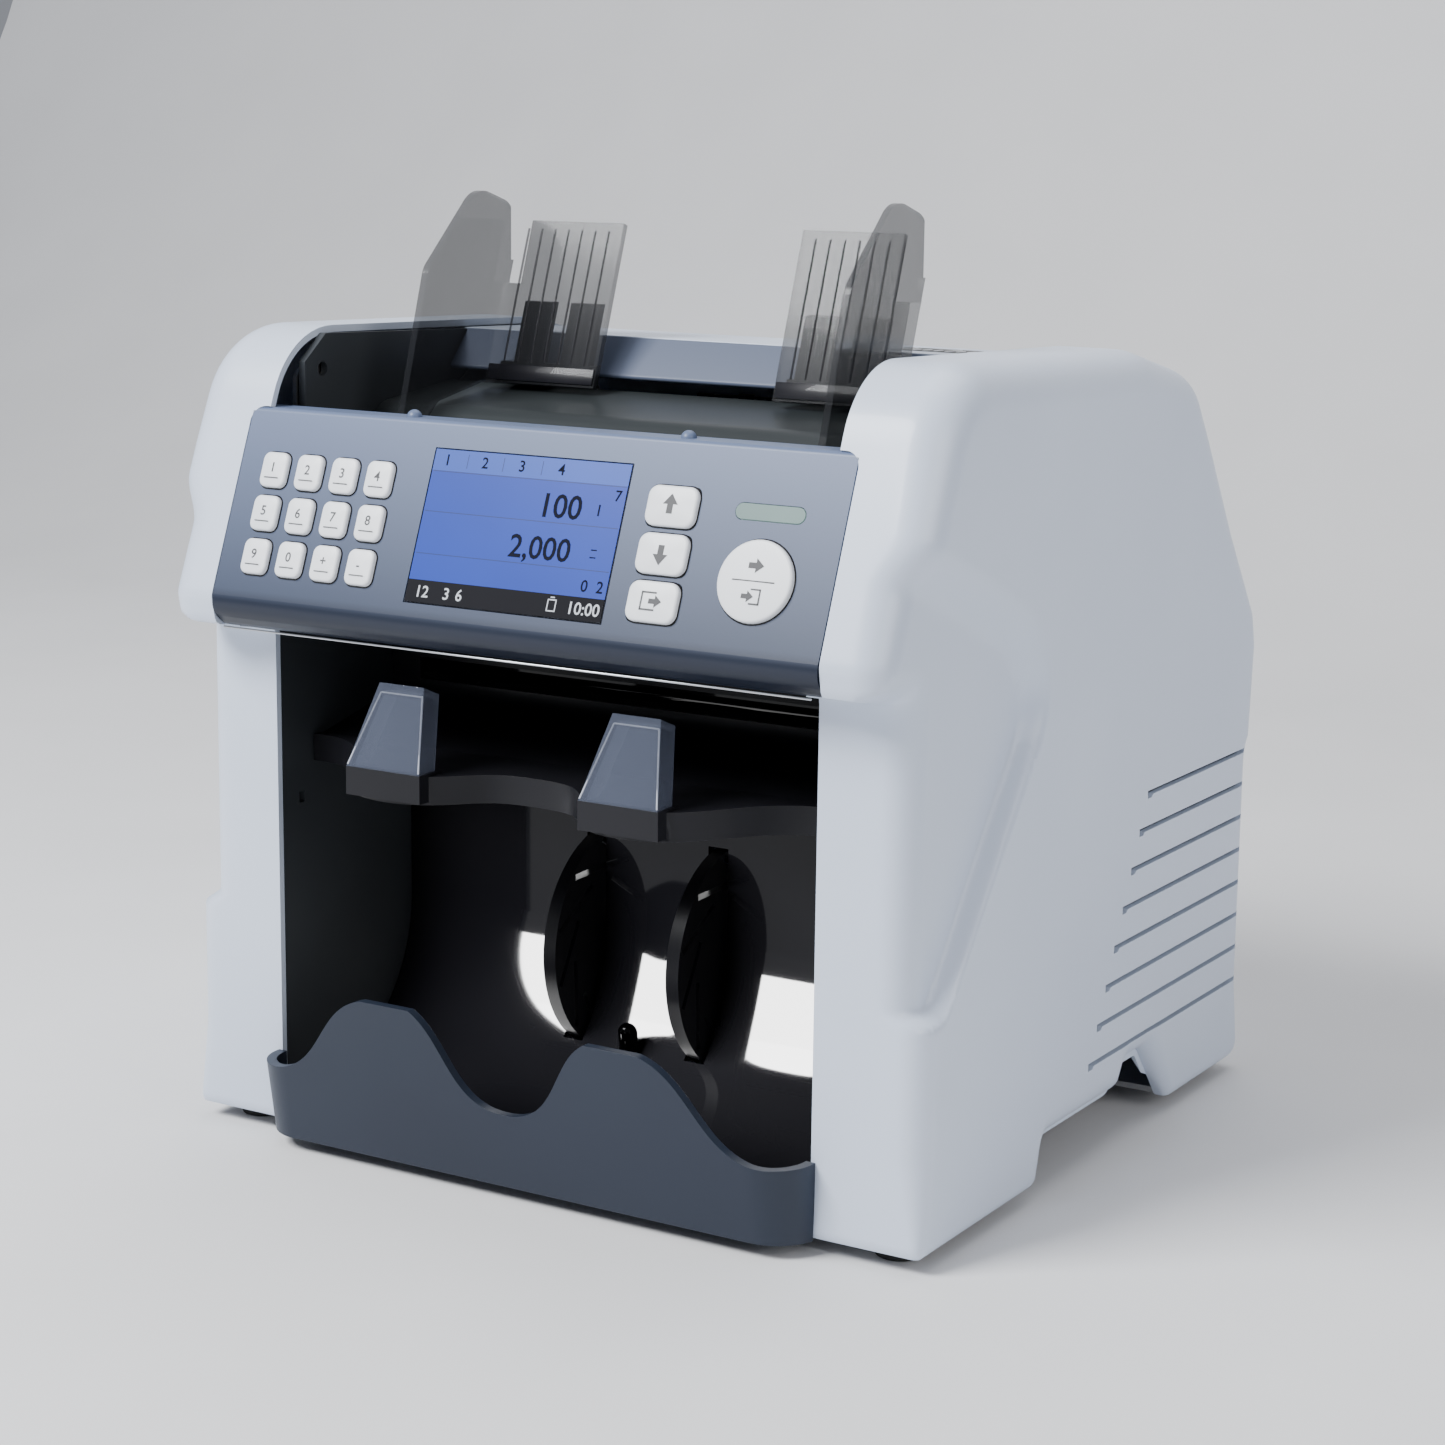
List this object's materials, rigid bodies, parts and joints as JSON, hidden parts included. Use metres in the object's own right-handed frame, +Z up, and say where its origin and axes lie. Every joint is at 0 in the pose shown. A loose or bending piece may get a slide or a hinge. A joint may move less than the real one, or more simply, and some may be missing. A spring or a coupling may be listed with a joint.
{
  "type": "banknote counter",
  "caption": "Desktop two-pocket banknote counter with top hopper and adjustable guides, tilted control panel, reject pocket, stacker pocket and hinged rear door.",
  "frame": {"origin": "centre of the overall box at the underside of the feet", "axes": "+X to the operator's right, +Y to the rear, +Z up"},
  "size_m": [0.29, 0.289, 0.3255],
  "materials": {
    "white_cover": "satin",
    "panel_grey": "satin",
    "lip_blue": "satin",
    "gloss_black": "gloss",
    "matte_black": "matte",
    "smoke_clear": "clear smoked",
    "screen_glass": "clear",
    "lens_green": "diffusing",
    "key_white": "satin",
    "circuit_board": "satin",
    "sheet_steel": "zinc plated",
    "bright_steel": "polished",
    "roller_rubber": "matte",
    "wheel_black": "satin"
  },
  "bodies": {
    "chassis": {"base_tray": "sheet_steel", "feet": "roller_rubber", "frame_plate_left": "sheet_steel", "frame_plate_right": "sheet_steel", "side_cover_left": "white_cover", "side_cover_right": "white_cover", "cover_screws": "bright_steel", "top_strip": "white_cover", "fascia": "panel_grey", "lcd_module": "gloss_black", "lcd_window": "screen_glass", "led_lens": "lens_green", "key_board": "circuit_board", "hopper_floor": "matte_black", "hopper_rear_wall": "lip_blue", "inner_wall_left": "matte_black", "inner_wall_right": "matte_black", "reject_tray": "gloss_black", "reject_bar": "gloss_black", "reject_windows": "smoke_clear", "stacker_back": "gloss_black", "stacker_lip": "lip_blue", "note_guides": "gloss_black", "image_sensors": "gloss_black", "bearings": "bright_steel", "drive_motor": "sheet_steel", "drive_belt": "roller_rubber", "main_board": "circuit_board", "power_supply": "sheet_steel", "rear_panel": "white_cover", "mains_inlet": "gloss_black"},
    "left_guide": {"guide_left": "smoke_clear", "guide_carriage_left": "gloss_black"},
    "right_guide": {"guide_right": "smoke_clear", "guide_carriage_right": "gloss_black"},
    "pinion": {"guide_pinion": "matte_black"},
    "kicker": {"kicker_shaft": "roller_rubber"},
    "feed": {"feed_shaft": "roller_rubber"},
    "drum": {"drum_shaft": "roller_rubber"},
    "stacker": {"stacker_shaft": "wheel_black"},
    "motor": {"motor_shaft": "bright_steel"},
    "gate": {"diverter": "matte_black"},
    "door": {"rear_door": "white_cover"},
    "switch": {"power_switch": "gloss_black"},
    "key_11_cap": {"key_11": "key_white"},
    "key_12_cap": {"key_12": "key_white"},
    "key_13_cap": {"key_13": "key_white"},
    "key_14_cap": {"key_14": "key_white"},
    "key_21_cap": {"key_21": "key_white"},
    "key_22_cap": {"key_22": "key_white"},
    "key_23_cap": {"key_23": "key_white"},
    "key_24_cap": {"key_24": "key_white"},
    "key_31_cap": {"key_31": "key_white"},
    "key_32_cap": {"key_32": "key_white"},
    "key_33_cap": {"key_33": "key_white"},
    "key_34_cap": {"key_34": "key_white"},
    "key_up_cap": {"key_up": "key_white"},
    "key_down_cap": {"key_down": "key_white"},
    "key_menu_cap": {"key_menu": "key_white"},
    "key_start_cap": {"key_start": "key_white"}
  },
  "joints": [
    {"name": "guide_left_slide", "type": "slide", "parent": "chassis", "child": "left_guide", "axis": [1, 0, 0], "range_m": [-0.014, 0.025]},
    {"name": "guide_right_slide", "type": "slide", "parent": "chassis", "child": "right_guide", "axis": [1, 0, 0], "range_m": [-0.025, 0.014]},
    {"name": "pinion_turn", "type": "hinge", "parent": "chassis", "child": "pinion", "pos_m": [0, 0.01, 0.2515], "axis": [0, 0, 1], "range_deg": [-108, 192]},
    {"name": "drum_spin", "type": "hinge", "parent": "chassis", "child": "drum", "pos_m": [0, 0.062, 0.16], "axis": [1, 0, 0], "continuous": true},
    {"name": "motor_spin", "type": "hinge", "parent": "chassis", "child": "motor", "pos_m": [0, 0.07498, 0.10913], "axis": [1, 0, 0], "continuous": true},
    {"name": "feed_spin", "type": "hinge", "parent": "chassis", "child": "feed", "pos_m": [0, -0.086, 0.206], "axis": [1, 0, 0], "continuous": true},
    {"name": "kicker_spin", "type": "hinge", "parent": "chassis", "child": "kicker", "pos_m": [0, -0.0681, 0.2291], "axis": [1, 0, 0], "continuous": true},
    {"name": "stacker_spin", "type": "hinge", "parent": "chassis", "child": "stacker", "pos_m": [0, -0.036, 0.066], "axis": [1, 0, 0], "continuous": true},
    {"name": "gate_turn", "type": "hinge", "parent": "chassis", "child": "gate", "pos_m": [0, -0.008, 0.128], "axis": [1, 0, 0], "range_deg": [-10, 8], "stiffness_Nm_per_rad": 0.05},
    {"name": "door_hinge", "type": "hinge", "parent": "chassis", "child": "door", "pos_m": [0, 0.132, 0.128], "axis": [-1, 0, 0], "range_deg": [0, 75]},
    {"name": "switch_rock", "type": "hinge", "parent": "chassis", "child": "switch", "pos_m": [-0.072, 0.1355, 0.067], "axis": [1, 0, 0], "range_deg": [0, 14]},
    {"name": "key_11_press", "type": "slide", "parent": "chassis", "child": "key_11_cap", "axis": [0, 0.9336, -0.3584], "range_m": [0, 0.0012], "stiffness_N_per_m": 800},
    {"name": "key_12_press", "type": "slide", "parent": "chassis", "child": "key_12_cap", "axis": [0, 0.9336, -0.3584], "range_m": [0, 0.0012], "stiffness_N_per_m": 800},
    {"name": "key_13_press", "type": "slide", "parent": "chassis", "child": "key_13_cap", "axis": [0, 0.9336, -0.3584], "range_m": [0, 0.0012], "stiffness_N_per_m": 800},
    {"name": "key_14_press", "type": "slide", "parent": "chassis", "child": "key_14_cap", "axis": [0, 0.9336, -0.3584], "range_m": [0, 0.0012], "stiffness_N_per_m": 800},
    {"name": "key_21_press", "type": "slide", "parent": "chassis", "child": "key_21_cap", "axis": [0, 0.9336, -0.3584], "range_m": [0, 0.0012], "stiffness_N_per_m": 800},
    {"name": "key_22_press", "type": "slide", "parent": "chassis", "child": "key_22_cap", "axis": [0, 0.9336, -0.3584], "range_m": [0, 0.0012], "stiffness_N_per_m": 800},
    {"name": "key_23_press", "type": "slide", "parent": "chassis", "child": "key_23_cap", "axis": [0, 0.9336, -0.3584], "range_m": [0, 0.0012], "stiffness_N_per_m": 800},
    {"name": "key_24_press", "type": "slide", "parent": "chassis", "child": "key_24_cap", "axis": [0, 0.9336, -0.3584], "range_m": [0, 0.0012], "stiffness_N_per_m": 800},
    {"name": "key_31_press", "type": "slide", "parent": "chassis", "child": "key_31_cap", "axis": [0, 0.9336, -0.3584], "range_m": [0, 0.0012], "stiffness_N_per_m": 800},
    {"name": "key_32_press", "type": "slide", "parent": "chassis", "child": "key_32_cap", "axis": [0, 0.9336, -0.3584], "range_m": [0, 0.0012], "stiffness_N_per_m": 800},
    {"name": "key_33_press", "type": "slide", "parent": "chassis", "child": "key_33_cap", "axis": [0, 0.9336, -0.3584], "range_m": [0, 0.0012], "stiffness_N_per_m": 800},
    {"name": "key_34_press", "type": "slide", "parent": "chassis", "child": "key_34_cap", "axis": [0, 0.9336, -0.3584], "range_m": [0, 0.0012], "stiffness_N_per_m": 800},
    {"name": "key_up_press", "type": "slide", "parent": "chassis", "child": "key_up_cap", "axis": [0, 0.9336, -0.3584], "range_m": [0, 0.0012], "stiffness_N_per_m": 800},
    {"name": "key_down_press", "type": "slide", "parent": "chassis", "child": "key_down_cap", "axis": [0, 0.9336, -0.3584], "range_m": [0, 0.0012], "stiffness_N_per_m": 800},
    {"name": "key_menu_press", "type": "slide", "parent": "chassis", "child": "key_menu_cap", "axis": [0, 0.9336, -0.3584], "range_m": [0, 0.0012], "stiffness_N_per_m": 800},
    {"name": "key_start_press", "type": "slide", "parent": "chassis", "child": "key_start_cap", "axis": [0, 0.9336, -0.3584], "range_m": [0, 0.0012], "stiffness_N_per_m": 800}
  ],
  "couplings": [
    {"joint": "guide_right_slide", "follows": "guide_left_slide", "ratio": -1},
    {"joint": "pinion_turn", "follows": "guide_left_slide", "rad_per_m": 133.33},
    {"joint": "motor_spin", "follows": "drum_spin", "ratio": -2.5},
    {"joint": "feed_spin", "follows": "drum_spin", "ratio": -2.5},
    {"joint": "kicker_spin", "follows": "drum_spin", "ratio": -2.5},
    {"joint": "stacker_spin", "follows": "drum_spin", "ratio": -2.5}
  ]
}
